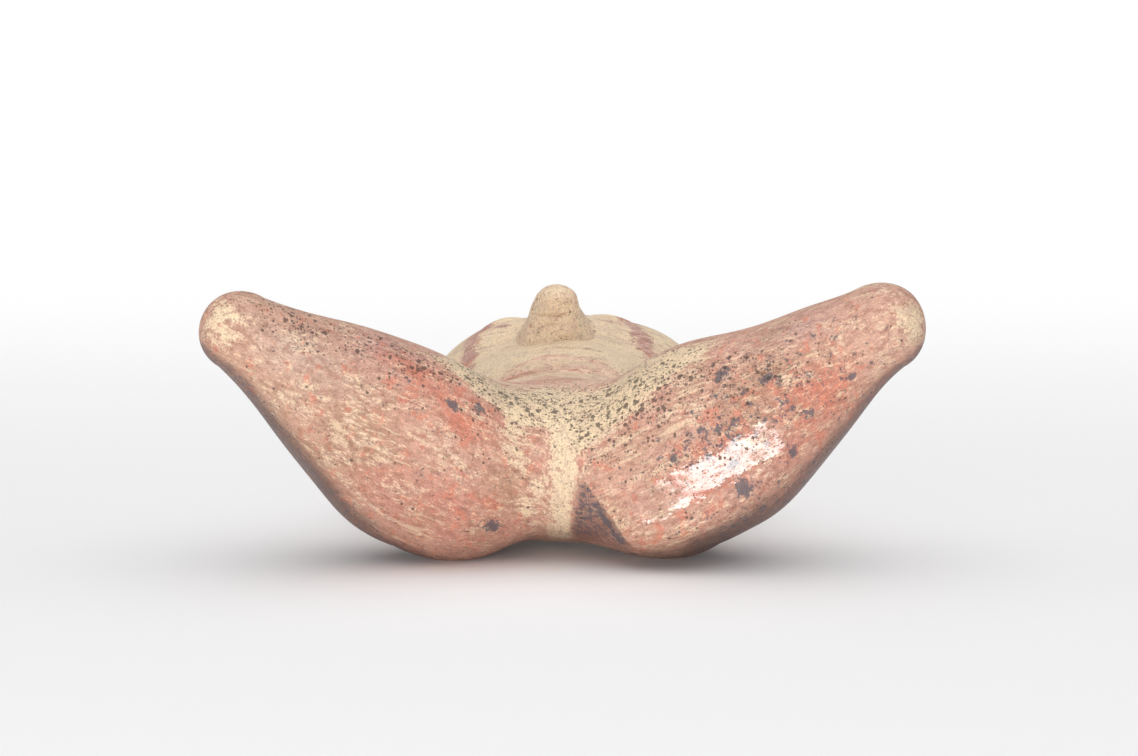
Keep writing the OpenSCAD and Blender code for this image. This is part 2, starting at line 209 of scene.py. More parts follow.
def shellPiece(name, outer, inner, outerPoles, innerPoles):
    # outer and inner are rings of points; an end without poles is closed by a flat band
    m, n = outer.shape[:2]
    k = inner.shape[0]
    innerBase = m * n
    points = [outer.reshape(-1, 3), inner.reshape(-1, 3)]
    faces = [gridFaces(m, n, 0, True), gridFaces(k, n, innerBase)]
    count = m * n + k * n
    for end in (0, 1):
        outerRing = np.arange(n) + (0 if end == 0 else (m - 1) * n)
        innerRing = np.arange(n) + innerBase + (0 if end == 0 else (k - 1) * n)
        if outerPoles[end] is None:
            faces.append(bandFaces(outerRing, innerRing, end == 1))
            continue
        points.append(np.array([outerPoles[end], innerPoles[end]], float))
        faces.append(fanFaces(count, outerRing, end == 0))
        faces.append(fanFaces(count + 1, innerRing, end == 1))
        count += 2
    obj = makeMesh(name, np.concatenate(points), faces)
    tidyMesh(obj)
    return obj


def cutFlat(obj, cuts):
    # removes what lies beyond each plane, given as point and normal in millimetres, and
    # closes the opening with one flat face
    bm = bmesh.new()
    bm.from_mesh(obj.data)
    for point, normal in cuts:
        geometry = bm.verts[:] + bm.edges[:] + bm.faces[:]
        cut = bmesh.ops.bisect_plane(bm, geom=geometry, dist=1e-7, plane_co=Vector(toFrame(point)),
                                     plane_no=Vector(normal), clear_outer=True)
        rim = [e for e in cut["geom_cut"] if isinstance(e, bmesh.types.BMEdge)]
        if not rim:
            continue
        bmesh.ops.triangle_fill(bm, use_beauty=True, use_dissolve=False, edges=rim,
                                normal=Vector(normal))
    bm.to_mesh(obj.data)
    bm.free()
    tidyMesh(obj)


wornCuts = [((0, 0, 0), (0, -1, 0)), ((0, 0, 0), (0, 0, -1))]


# TRUNK
# Rays fan up from a low point inside the belly, then straighten on the way to the neck.
# guess is how far out the search for the face begins.
trunk = dict(steps=300, fans=130, barrels=90, innerFans=30, innerBarrels=30, lean=52.0, ease=1.6,
             low=balls[0]["at"][1] / 2.3, stretch=1.5, guess=14.0, innerGuess=10.0)
groinNormals = [np.array([side * math.cos(groinAngle), -math.sin(groinAngle), 0])
                for side in (1, -1)]
groinPoint = np.array([0, crotchY, 0])


def upRays(rows, steps, stretch):
    # rows are (middle, tilt in degrees); gives ray starts and directions
    a = np.linspace(0, 2 * math.pi, steps, endpoint=False)
    flat = np.stack([np.cos(a) * stretch, np.zeros(steps), np.sin(a)], axis=-1)
    flat /= np.linalg.norm(flat, axis=-1)[:, None]
    middles = np.array([r[0] for r in rows], float)
    tilts = np.radians([r[1] for r in rows])
    d = np.cos(tilts)[:, None, None] * flat + np.sin(tilts)[:, None, None] * np.array([0, 1.0, 0])
    o = np.broadcast_to(middles[:, None, :], d.shape)
    return o, d


def groinFar(o, d, past=8.0):
    # how far a ray may run: a little past the flat joints with the legs
    far = np.full(o.shape[:-1], 250.0)
    for normal in groinNormals:
        q = d @ normal
        depth = np.maximum((groinPoint - o) @ normal, 0) + past
        far = np.where(q > 0.02, np.minimum(far, depth / np.maximum(q, 0.02)), far)
    return far


def trunkRows(fans, barrels):
    # middle and tilt of each row of rays
    low, lean = trunk["low"], trunk["lean"]
    rows = [((0, low, spineZ), -90 + (90 + lean) * i / fans) for i in range(1, fans)]
    rows += [((0, low + s * (neckY - low), spineZ), lean * (1 - s) ** trunk["ease"])
             for s in np.linspace(0, 1, barrels + 1)]
    return rows


def trunkSurface(fans, barrels, level, start):
    # where the rays meet the body's face, or a level under it, and the lowest point between the legs
    o, d = upRays(trunkRows(fans, barrels), trunk["steps"], trunk["stretch"])
    rings = o + d * reach(o, d, start, level, groinFar(o, d))[..., None]
    low = np.array([0, trunk["low"], spineZ])
    down = np.array([0, -1.0, 0])
    return rings, low + down * reach(low, down, trunk["innerGuess"], level)


def makeTrunk():
    # the body's face and the same face one wall further in, cut flat where the legs join
    outer, crotch = trunkSurface(trunk["fans"], trunk["barrels"], 0, trunk["guess"])
    inner, innerCrotch = trunkSurface(trunk["innerFans"], trunk["innerBarrels"], -wall,
                                      trunk["innerGuess"])
    obj = shellPiece("torsoShell", outer, inner, (crotch, None), (innerCrotch, None))
    cutFlat(obj, [(groinPoint, n) for n in groinNormals] + wornCuts)
    return obj


# LEGS
# The rings turn from the hip joint's plane to square across the leg.
legShape = dict(steps=260, barrels=190, caps=44, innerBarrels=40, innerCaps=10, innerEnd=0.84,
                turned=0.6, guess=0.8, far=250.0, innerFar=30.0)


def legSurface(limb, groin, barrels, caps, end, level, far):
    # rays square to a line from groin to toe, then over the toe; each runs to the body's face
    hip, toe = np.array(limb["hip"], float), np.array(limb["toe"], float)
    along = (toe - hip) / np.linalg.norm(toe - hip)
    root = hip - along * (groin @ (hip - groinPoint)) / (groin @ along)
    s = end * np.concatenate([np.linspace(0, 1, barrels + 1), np.ones(caps - 1)])
    tilt = np.radians(np.concatenate([np.zeros(barrels + 1), 90 * np.arange(1, caps) / caps]))
    turn = np.minimum(1, s / legShape["turned"])
    w = (turn * turn * (3 - 2 * turn))[:, None]
    out = groin * (1 - w) + along * w
    out /= np.linalg.norm(out, axis=1)[:, None]
    front = np.array([0, 0, 1.0]) - out[:, 2:] * out
    front /= np.linalg.norm(front, axis=1)[:, None]
    side = np.cross(out, front)
    a = np.linspace(0, 2 * math.pi, legShape["steps"], endpoint=False)
    flat = np.cos(a)[:, None] * side[:, None] + np.sin(a)[:, None] * front[:, None]
    d = np.cos(tilt)[:, None, None] * flat + np.sin(tilt)[:, None, None] * out[:, None]
    o = np.broadcast_to((root + s[:, None] * (toe - root))[:, None], d.shape)
    rings = o + d * reach(o, d, limb["radii"][0] * legShape["guess"], level, far)[..., None]
    tip = o[-1, 0]
    out = reach(tip, along, limb["radii"][3] * legShape["guess"], level, far)
    return rings, tip + along * out


def makeLeg(name, limb, groin):
    # hollow to short of the foot, which is solid
    outer, tip = legSurface(limb, groin, legShape["barrels"], legShape["caps"], 1.0, 0,
                            legShape["far"])
    inner, innerTip = legSurface(limb, groin, legShape["innerBarrels"], legShape["innerCaps"],
                                 legShape["innerEnd"], -wall, legShape["innerFar"])
    obj = shellPiece(name, outer, inner, (None, tip), (None, innerTip))
    cutFlat(obj, wornCuts)
    return obj


# HEAD
skull = balls[3]
head = dict(steps=300, barrels=120, caps=80, innerBarrels=30, innerCaps=20, crowd=4, crowdOver=2.5,
            guess=14.0, innerGuess=10.0, topGuess=20.0)
vent = dict(up=skull["size"][1] / 4, diameter=5.0, length=24.0)


def headSurface(barrels, caps, level, start):
    # level rings from neck to crown, then a dome; rings crowd together at the mouth
    crown = np.array(skull["at"])
    neck = np.array([0, neckY, spineZ])
    steps = np.linspace(0, 1, 400)
    off = (neckY + steps * (crown[1] - neckY) - mouth["y"]) / head["crowdOver"]
    crowd = np.cumsum(1 + head["crowd"] * np.exp(-(off**2)))
    crowd = (crowd - crowd[0]) / (crowd[-1] - crowd[0])
    shares = np.interp(np.linspace(0, 1, barrels + 1), crowd, steps)
    rows = [(neck + s * (crown - neck), 0) for s in shares]
    rows += [(crown, 90 * i / caps) for i in range(1, caps)]
    o, d = upRays(rows, head["steps"], trunk["stretch"])
    rings = o + d * reach(o, d, start, level)[..., None]
    up = np.array([0, 1.0, 0])
    return rings, crown + up * reach(crown, up, head["topGuess"], level)


def makeHead():
    # a shell open at the neck, with a round vent through its back
    outer, top = headSurface(head["barrels"], head["caps"], 0, head["guess"])
    inner, innerTop = headSurface(head["innerBarrels"], head["innerCaps"], -wall,
                                  head["innerGuess"])
    obj = shellPiece("headShell", outer, inner, (None, top), (None, innerTop))
    cutFlat(obj, wornCuts)
    pierce(obj, np.array([skull["at"][0], skull["at"][1] + vent["up"], 0]), vent["diameter"],
           vent["length"])
    return obj


# FACE AND LIMBS PRESSED ON
def seated(p, under=0.35):
    # points deep inside the shell's face are lifted to just under it, so a piece sits on the
    # shell as its CAD solid does
    gap = body(p)
    deep = gap < -under
    lifted = p.copy()
    for _ in range(4):
        gap = body(lifted[deep])
        lifted[deep] -= faceNormal(lifted[deep]) * (gap + under)[:, None]
    return lifted


def ringPiece(name, rings, first, last):
    # rings of points, closed by a pole at each end
    m, n = rings.shape[:2]
    points = np.concatenate([rings.reshape(-1, 3), [first, last]])
    faces = [gridFaces(m, n), fanFaces(m * n, np.arange(n)),
             fanFaces(m * n + 1, np.arange((m - 1) * n, m * n), True)]
    obj = makeMesh(name, seated(points), faces)
    tidyMesh(obj)
    return obj


def frontAt(x, y):
    # the point of the body's front at x and y
    o = np.array([x, y, spineZ], float)
    d = np.array([0, 0, 1.0])
    return o + d * reach(o, d, 14.0)


nose = dict(x=-1.8, y=119.4, width=25, tipWidth=9.1, length=27, tipLength=9, top=50.8,
            roundFrom=0.82, steps=160, levels=130, sink=1.3, narrowing=0.76, tipWidthPull=1.2,
            tipLengthPull=1.4, lean=(0, 0.05, 0.02, 0), creaseAt=0.6, creaseDeep=0.6,
            creaseHigh=0.02, creaseTurn=0.5, boss=(0.6, 39.2, 1.7, 0.5), lumps=0.55, lumpScale=2.6)


def makeNose():
    # stacked ovals from inside the face to a rounded tip, each a width and a length led by a
    # smooth run from foot to tip, with one crease across the front
    root = frontAt(nose["x"], nose["y"] + nose["length"] / 2)
    base = root[2] - wall * nose["sink"]
    h = np.linspace(0, 0.995, nose["levels"])
    w = bezier(h, [nose["width"], nose["width"] * nose["narrowing"],
                   nose["tipWidth"] * nose["tipWidthPull"], nose["tipWidth"]]) / 2
    l = bezier(h, [nose["length"], nose["length"],
                   nose["tipLength"] * nose["tipLengthPull"], nose["tipLength"]]) / 2
    over = np.clip((h - nose["roundFrom"]) / (1 - nose["roundFrom"]), 0, 1)
    cap = np.sqrt(1 - over**2)
    lift = bezier(h, nose["lean"]) * nose["length"]
    a = np.linspace(0, 2 * math.pi, nose["steps"], endpoint=False)
    off = (h - nose["creaseAt"]) / nose["creaseHigh"]
    crease = nose["creaseDeep"] * np.exp(-off**2)[:, None]
    crease = crease * np.clip(-np.sin(a - nose["creaseTurn"]), 0, 1)
    x = nose["x"] - (w * cap)[:, None] * np.cos(a)
    y = (nose["y"] + lift + l)[:, None] + (l * cap)[:, None] * np.sin(a) + crease
    z = np.broadcast_to((base + h * (nose["top"] - base))[:, None], x.shape)
    rings = np.stack([x, y, z], axis=-1)
    # hand-pressed lumps, and a round boss low on the front
    middle = rings.mean(axis=1, keepdims=True)
    out = (rings - middle) * (1, 1, 0)
    out /= np.maximum(np.linalg.norm(out, axis=-1), 1e-6)[..., None]
    bossX, bossZ, bossR, bossUp = nose["boss"]
    near = ((rings[..., 0] - bossX) ** 2 + (rings[..., 2] - bossZ) ** 2) / bossR**2
    lump = bossUp * np.exp(-near**2) * (np.sin(a) < 0)
    lump = lump + nose["lumps"] * unevenness(rings * nose["lumpScale"])
    rings = rings + out * (lump * np.minimum(cap, 1)[:, None])[..., None]
    return ringPiece("nose", rings, (nose["x"], nose["y"] + nose["length"] / 2, base),
                     (nose["x"], nose["y"] + nose["tipLength"] / 2, nose["top"]))


def pelletRings(size, bands=40, steps=96):
    # a flattened ball about the origin, from its back to its front
    u = np.radians(180 * np.arange(1, bands) / bands)
    a = np.linspace(0, 2 * math.pi, steps, endpoint=False)
    out, up = np.sin(u)[:, None] / 2, -np.cos(u)[:, None] / 2
    return np.stack([-size[0] * out * np.cos(a), size[1] * out * np.sin(a),
                     size[2] * up + 0 * a], axis=-1)


eyes = dict(x=14.5, y=146.7, width=11, height=5.6, out=1.0, slit=1.2, slitDeep=0.4, slitHalf=0.36)


def makeEye(name, side):
    # a pellet whose height is laid on the curve of the face, pressed in along the line between
    # the lids
    x = side * eyes["x"] + nose["x"]
    rings = pelletRings((eyes["width"], eyes["height"], 2 * eyes["out"]))
    rings[..., 2] *= np.abs(rings[..., 2]) / eyes["out"]
    groove = np.exp(-(rings[..., 1] / (eyes["slit"] / 2)) ** 4)
    groove *= np.clip(1.3 - (rings[..., 0] / (eyes["slitHalf"] * eyes["width"])) ** 4, 0, 1)
    front = np.clip(rings[..., 2] / eyes["out"], 0, 1)
    rings[..., 2] -= eyes["slitDeep"] * groove * front
    start = rings * (1, 1, 0) + (x, eyes["y"], spineZ)
    up = np.array([0, 0, 1.0])
    rings = start + up * (reach(start, up, 14.0) + rings[..., 2])[..., None]
    at = frontAt(x, eyes["y"])
    return ringPiece(name, rings, at - eyes["out"] * up, at + (eyes["out"] - eyes["slitDeep"]) * up)


ears = dict(height=19, thick=7, out=5.5, hole=2.0, down=skull["size"][1] / 6)


def makeEar(name, side):
    # a flattened ball with its middle on the head's side, half sunk, with a round hole
    start = np.array(skull["at"]) - (0, ears["down"], 0)
    d = np.array([side, 0, 0.0])
    at = start + d * reach(start, d, skull["size"][0] / 2)
    rings = at + pelletRings((2 * ears["out"], ears["height"], ears["thick"]))
    back = at - (0, 0, ears["thick"] / 2)
    obj = ringPiece(name, rings, back, at + (0, 0, ears["thick"] / 2))
    pierce(obj, at + (side * ears["out"] / 2, 0, 0), ears["hole"], ears["thick"] * 2)
    return obj


breasts = dict(x=17, y=68, width=13, out=3)


def makeBreast(name, side):
    # a round pellet with its middle on the chest
    at = frontAt(side * breasts["x"], breasts["y"])
    size = (breasts["width"], breasts["width"], 2 * breasts["out"])
    out = np.array([0, 0, breasts["out"]])
    return ringPiece(name, at + pelletRings(size), at - out, at + out)


arms = dict(shoulder=(25, 90.0, 18.9), elbow=(42, 74.0, 18.9), hand=(21, 57, 28), thick=6.2,
            handThick=4.6, bends=90, caps=14, steps=64, fingerDeep=0.35)


def makeArm(name, side):
    # a roll along a curve from shoulder by elbow to hand, rounded at both ends
    mirror = np.array([side, 1, 1.0])
    a, b, c = (np.array(arms[k], float) * mirror for k in ("shoulder", "elbow", "hand"))
    bends, caps = arms["bends"], arms["caps"]
    i = np.arange(-caps, bends + caps + 1)
    t = np.clip(i / bends, 0, 1)[:, None]
    turn = np.radians(np.where(i < 0, 90 * i / caps, np.where(i > bends, 90 * (i - bends) / caps, 0)))
    p = a * (1 - t) ** 2 + 2 * b * (1 - t) * t + c * t**2
    out = (b - a) * (1 - t) + (c - b) * t
    out /= np.linalg.norm(out, axis=1)[:, None]
    front = np.array([0, 0, 1.0]) - out[:, 2:] * out
    front /= np.linalg.norm(front, axis=1)[:, None]
    across = np.cross(out, front)
    thick = arms["thick"] * (1 - t) + arms["handThick"] * t
    v = np.linspace(0, 2 * math.pi, arms["steps"], endpoint=False)
    fingers = arms["fingerDeep"] * np.clip((t - 0.86) / 0.1, 0, 1) * np.cos(v * 8) ** 4
    radius = (thick * np.maximum(np.cos(turn), 0.05)[:, None] - fingers)[..., None]
    rings = (p + out * thick * np.sin(turn)[:, None] * 0.98)[:, None]
    spokes = np.cos(v)[:, None] * across[:, None] + np.sin(v)[:, None] * front[:, None]
    rings = rings + radius * spokes
    first = a - (b - a) / np.linalg.norm(b - a) * arms["thick"]
    last = c + (c - b) / np.linalg.norm(c - b) * arms["handThick"]
    return ringPiece(name, rings, first, last)


def pierce(obj, at, diameter, length):
    # takes a round hole along z out of a piece, with its middle at a point in millimetres
    a = np.linspace(0, 2 * math.pi, 40, endpoint=False)
    ring = np.stack([np.cos(a), np.sin(a), 0 * a], axis=-1) * diameter / 2
    ends = np.array([(0, 0, -length / 2), (0, 0, length / 2)])
    points = np.concatenate([ring + ends[0], ring + ends[1], ends]) + at
    faces = [gridFaces(2, 40, 0, True), fanFaces(80, np.arange(40), True),
             fanFaces(81, np.arange(40, 80))]
    drill = makeMesh("drill", points, faces)
    tidyMesh(drill)
    cut = obj.modifiers.new("hole", "BOOLEAN")
    cut.operation = "DIFFERENCE"
    cut.solver = "EXACT"
    cut.object = drill
    bpy.context.view_layer.update()
    pierced = bpy.data.meshes.new_from_object(obj.evaluated_get(bpy.context.evaluated_depsgraph_get()))
    obj.modifiers.remove(cut)
    plain = obj.data
    obj.data = pierced
    bpy.data.meshes.remove(plain)
    bpy.data.objects.remove(drill)
    tidyMesh(obj)


pieces = {}
pieces["torso_shell"] = makeTrunk()
print("trunk made")
pieces["right_leg"] = makeLeg("rightLeg", rightLimb, groinNormals[1])
pieces["left_leg"] = makeLeg("leftLeg", leftLimb, groinNormals[0])
print("legs made")
pieces["head_shell"] = makeHead()
print("head made")
pieces["nose"] = makeNose()
pieces["right_eye"] = makeEye("rightEye", -1)
pieces["left_eye"] = makeEye("leftEye", 1)
pieces["right_ear"] = makeEar("rightEar", -1)
pieces["left_ear"] = makeEar("leftEar", 1)
print("face made")
pieces["right_arm"] = makeArm("rightArm", -1)
pieces["left_arm"] = makeArm("leftArm", 1)
pieces["right_breast"] = makeBreast("rightBreast", -1)
pieces["left_breast"] = makeBreast("leftBreast", 1)
print("arms and breasts made")


# PAINT
# Where each slip, stain and wear lies is worked out for every point of the surface in
# millimetres, so that it runs on over the joints of the pieces.
legWay = np.array([0.797, -0.205, 0.567])
legWay /= np.linalg.norm(legWay)
# the burnishing runs a little flatter than the leg
flowWay = np.array([0.88, -0.15, 0.42])
flowWay /= np.linalg.norm(flowWay)
flowAcross = np.cross(flowWay, (0, 1.0, 0))
flowAcross /= np.linalg.norm(flowAcross)
flowFront = np.cross(flowAcross, flowWay)
# the legs' streaks differ, meet softly at the crotch and turn sideways between two heights
flowing = dict(apart=40, meet=6, round=3, level=(35, 70))


def smooth(a, b, v):
    # 0 at a and 1 at b, with a soft start and end
    h = np.clip((v - a) / (b - a), 0, 1)
    return h * h * (3 - 2 * h)


def wander(p, seed, shortest, longest, count=14):
    # a slow random field of about -1 to 1: a sum of sine waves in random directions
    rng = np.random.default_rng(seed)
    axes = rng.normal(size=(count, 3))
    axes /= np.linalg.norm(axes, axis=1)[:, None]
    axes *= 2 * math.pi / rng.uniform(shortest, longest, count)[:, None]
    return np.sin(p @ axes.T + rng.uniform(0, 2 * math.pi, count)).sum(axis=1) / math.sqrt(2 * count)


def flowAt(p):
    # distance along the nearer leg, and two across it; up the trunk it turns to run sideways
    x = np.sqrt(p[:, 0] ** 2 + flowing["round"] ** 2)
    q = np.stack([x, p[:, 1], p[:, 2]], axis=-1)
    apart = flowing["apart"] * smooth(-flowing["meet"], flowing["meet"], p[:, 0])
    leg = np.stack([q @ flowWay + apart, q @ flowAcross, q @ flowFront], axis=-1)
    level = np.stack([p[:, 0], p[:, 1] + flowing["apart"], p[:, 2]], axis=-1)
    turn = smooth(*flowing["level"], p[:, 1])[:, None]
    return leg * (1 - turn) + level * turn


def place(p, x, y, z, long, wide):
    # 1 at a spot, falling off over a half length along the leg and a half width across it
    d = p - (x, y, z)
    along = d @ (legWay * (1 if x >= 0 else -1, 1, 1))
    across = np.maximum((d**2).sum(axis=1) - along**2, 0)
    return np.exp(-((along / long) ** 2) - across / wide**2)


def places(p, spots):
    # the sum of all spots, each with its strength
    total = np.zeros(len(p))
    for *where, strength in spots:
        total += strength * place(p, *where)
    return total


# spots are x, y, z, half length, half width and strength, in millimetres
creamSpots = [(14, 18, 41, 9, 6, 0.7), (22, 19, 45, 9, 5, 0.6), (-24, 18, 44, 9, 5, 0.6),
              (-18, 17.6, 41.8, 10, 6, 0.8), (-11.7, 18.3, 37, 8, 7, 0.8),
              (-5, 17.8, 33.6, 7, 8, 0.8), (-10, 8, 27, 6, 5, 0.45), (-6, 7, 17, 4, 7, 0.4),
              (-5, 9, 12, 5, 4, 0.35), (6.1, 11.1, 31, 8, 5, 0.8), (12.8, 12.7, 37.5, 9, 5.5, 0.8),
              (19.4, 13, 42.4, 9, 5, 0.8), (27, 14, 47, 8, 4, 0.6), (0, 20, 35, 13, 7, 0.8)]
footSpots = [(-75, 4, 57, 6, 7, 0.85), (-71, 6, 52, 6, 5, 0.5), (77, 5, 55, 6, 7, 1.0)]
# the red slip's own shades: spot, then colour
shadeSpots = [
    (-58, 5, 36, 24, 14, 1.0, "tan"), (-64, 6, 45, 13, 9, 0.8, "rust"),
    (-60, 3, 50.5, 12, 4, 0.9, "ashPink"), (-60, 9, 57, 13, 4.5, 0.9, "rust"),
    (-52, 6, 44, 8, 6, 0.8, "ashPink"), (-55, 3, 34, 8, 5, 0.6, "rust"),
    (-38, 9, 48.5, 10, 6, 0.8, "dusk"), (-67, 9, 34, 14, 5, 0.8, "brown"),
    (-54, 11, 17, 12, 5, 0.8, "brown"), (-32, 8.5, 44, 8, 3.6, 0.9, "bright"),
    (-22, 5.5, 35, 8, 4, 0.8, "bright"), (-26, 1, 28, 9, 5, 0.7, "salmon"),
    (-28, 2, 15, 20, 9, 0.7, "brick"), (66, 3, 50, 15, 9, 0.8, "rust"),
    (72, 4, 52, 9, 8, 0.8, "salmon"), (42, 2, 41, 14, 6, 0.9, "tan"),
    (50, 9, 54, 14, 5, 0.8, "dusk"), (57, 2, 40, 10, 6, 0.8, "bright"),
    (50, 2, 29, 9, 5, 0.8, "brick"), (20, 4, 31, 16, 7, 0.8, "salmon"),
    (28, 10, 6, 22, 6, 0.8, "brown"), (-42, 0, 29.5, 8, 4.5, 0.8, "tan"),
    (3, 7, 17, 3, 8, 0.7, "salmon"), (-12, 6, 20, 6, 6, 0.6, "tan"),
]
# pale veil: a worn pale film, with painted sheen on the right leg's seat side
veilAndSheenSpots = [(-46, 0.5, 33, 7, 4, 0.6), (-36, 0, 31, 9, 5, 0.1), (-60, 3, 50, 12, 3, 0.5),
             (-40, 0, 20, 12, 4, 0.3), (46, 0.8, 37, 3.5, 3, 0.6), (-24, 1, 27, 8, 3, 0.4),
             (-50, 4, 42, 7, 4, 0.3)]
# small patches where the red is still fresh and orange
freshSpots = [(34, 0, 29, 14, 7, 1.0), (54, 3, 38, 12, 7, 1.0), (28, 3, 17, 12, 5, 0.9),
              (-28, 5, 38, 12, 6, 0.8), (-24, 3, 14, 14, 7, 0.6)]
# black specks: thick on the cream ridges, thinner elsewhere
fineSpots = [(-16, 17.6, 40, 16, 9, 0.55), (14, 12.5, 38, 20, 9, 0.75), (-58, 8, 55, 16, 6, 0.6),
             (-36, 9, 48, 12, 7, 0.5), (40, 4, 44, 22, 9, 0.3), (0, 20, 36, 12, 10, 0.4),
             (30, 1, 26, 18, 9, 0.2)]
# where ragged grey blotches are thick
blotchSpots = [(44, 2, 40, 26, 12, 0.7), (30, 1, 28, 16, 8, 0.7), (60, 4, 44, 12, 8, 0.6),
               (-32, 6, 42, 12, 9, 0.6), (-66, 8, 36, 14, 6, 0.6), (-15, 16, 36, 8, 8, 0.6),
               (34, 6, 9, 16, 6, 1.0), (-20, 6, 14, 12, 8, 0.4)]
# single grey blotches: x, y, z, radius
blotches = [(35, 6.1, 44.5, 1.7), (44, 2, 42, 1.9), (-17.1, 8, 9.2, 2.1), (40, 1, 20.5, 2.4),
            (36.5, 0, 24.5, 1.6), (25.3, 1.1, 26, 1.5), (28, 1.3, 31.7, 1.6), (50.3, 2.4, 28, 1.4),
            (64, 3.9, 42.5, 1.9), (-24, 5, 38, 1.5), (-41, 2, 42, 1.2), (-20.5, 9, 36, 1.8),
            (48, 2, 38.5, 1.2), (53, 2, 35, 1.6), (-36, 3.4, 41.6, 1.1), (44, 3, 14, 2.0)]

slipColours = dict(cream="#EBD1AF", yellow="#EAD1AD", strip="#F5DDBB", base="#CC9A86",
                   brick="#C18170", bright="#CF8068", salmon="#CFA28D", tan="#B1896E",
                   rust="#CCA18A", dusk="#BF968A", brown="#94715E", ashPink="#C3A392",
                   veilAndSheen="#E4D6CB", speck="#432F2B", blotch="#57525A", grimeAndShade="#A39698",
                   plum="#C4968B", blush="#CE927C", chest="#F8D6BC", deep="#E7D4CB")


def linearColour(text):
    # an sRGB hex colour as linear red, green, blue and alpha
    parts = [int(text[i:i + 2], 16) / 255 for i in (1, 3, 5)]
    return tuple(c / 12.92 if c <= 0.04045 else ((c + 0.055) / 1.055) ** 2.4 for c in parts) + (1.0,)


def shadeAt(p):
    # the red slip's colour: each shade is laid over those before it
    colour = np.tile(linearColour(slipColours["base"])[:3], (len(p), 1))
    for *where, strength, shade in shadeSpots:
        share = np.clip(strength * 1.25 * place(p, *where), 0, 1)[:, None]
        colour = colour * (1 - share) + np.array(linearColour(slipColours[shade])[:3]) * share
    return colour


# edges of the slips, each from none to full: the strip's half width and top, the chin line with
# its curve, and the foot of the trunk's red
edges = dict(drift=1.6, stripX=-0.4, strip=(5.5, 1.0), stripTop=(27, 22), chin=(105.8, 109),
             chinCurve=0.0175, chinReach=30, chinDrift=0.8, trunk=(23, 29), belly=(36, 26))


def slipShares(p, q, drift):
    # the strip down the middle, the head's cream and the trunk's red, each from 0 to 1
    x, y = p[:, 0], p[:, 1]
    strip = smooth(*edges["strip"], np.abs(q[:, 0] - edges["stripX"])) * smooth(*edges["stripTop"], y)
    curve = edges["chinCurve"] * np.minimum(x**2, edges["chinReach"] ** 2)
    headward = smooth(*edges["chin"], y + curve + edges["chinDrift"] * drift[:, 1])
    return strip, headward, smooth(*edges["trunk"], y) * (1 - headward)


# two dusky bands slant down the face, and a short dusky dash lies under each eye
faceBands = dict(x=-1.8, out=21, y=138, lean=0.3, half=3.2, top=(150, 145), dashOut=15.5, dashY=139.5,
                 dashLong=5, dashTall=1.3, front=(8, 22))


def duskyBands(p, q):
    # a bell curve across each band and each dash, ending under the brow and at the head's sides
    b = faceBands
    side = np.abs(q[:, 0] - b["x"]) - b["out"] + b["lean"] * (q[:, 1] - b["y"])
    band = 1.1 * np.exp(-((side / b["half"]) ** 2)) * smooth(*b["top"], p[:, 1])
    outward = (np.abs(p[:, 0] - b["x"]) - b["dashOut"]) / b["dashLong"]
    dash = np.exp(-(outward**2) - ((p[:, 1] - b["dashY"]) / b["dashTall"]) ** 2)
    return np.maximum(band, 0.8 * dash) * smooth(*b["front"], p[:, 2])


# painted shade on faces turned down: most on the thighs' undersides, where the face turns outwards and
# down, less on any face turned down short of the head
undersideShade = dict(most=1.1, out=0.64, down=0.77, turned=(0.5, 0.93), far=(12, 34), below=0.6,
             belowTurned=(-0.5, -0.95), neck=100)


def undersideShadeAt(p, n):
    # how much painted shade a face gets as its normal n turns down and outwards
    turned = undersideShade["out"] * np.sign(p[:, 0]) * n[:, 0] - undersideShade["down"] * n[:, 2]
    under = undersideShade["most"] * smooth(*undersideShade["turned"], turned) * smooth(*undersideShade["far"], np.abs(p[:, 0]))
    below = undersideShade["below"] * smooth(*undersideShade["belowTurned"], n[:, 2])
    return np.maximum(under, below) * (p[:, 1] < undersideShade["neck"])


# a dark smear beside the strip, three-sided, with a black line along its slanting edge
smear = dict(x=4.6, z=20.6, slant=0.71, edge=(0.8, -0.4), inner=(0.6, 5.0), top=(22.8, 19.5),
             low=(3, 8), tall=30, lineIn=1.6, lineHalf=0.9, lineTop=(16.5, 14.5))


def smearAt(p, q):
    # the smear's share, and the share of the line along its edge
    s, (x, y, z) = smear, p.T
    slant = x - (s["x"] + s["slant"] * (s["z"] - z))
    share = smooth(*s["edge"], slant) * smooth(*s["inner"], q[:, 0]) * smooth(*s["top"], z)
    share *= (y < s["tall"]) * smooth(*s["low"], z)
    line = np.exp(-(((slant + s["lineIn"]) / s["lineHalf"]) ** 2)) * smooth(*s["lineTop"], z)
    return share, line * share


# dirt and painted shade in the corner round the nose's foot and in the mouth
creaseDirtAndShade = dict(y=131.5, wide=9.6, tall=12.2, ring=1.03, thick=0.05, front=30, lipLong=1.6, lipTall=0.9)


def creaseDirtAndShadeAt(p, onNose):
    # bell curves across an oval ring and across the line of the mouth
    x, y, z = p.T
    ring = np.hypot((x - nose["x"]) / creaseDirtAndShade["wide"], (y - creaseDirtAndShade["y"]) / creaseDirtAndShade["tall"])
    corner = np.exp(-(((ring - creaseDirtAndShade["ring"]) / creaseDirtAndShade["thick"]) ** 2)) * (z > creaseDirtAndShade["front"]) * (1 - onNose)
    along = (x - mouth["x"]) / (creaseDirtAndShade["lipLong"] * mouth["half"])
    lips = np.exp(-(along**4) - ((y - mouth["y"]) / creaseDirtAndShade["lipTall"]) ** 2)
    return np.maximum(corner, lips * (z > creaseDirtAndShade["front"]))


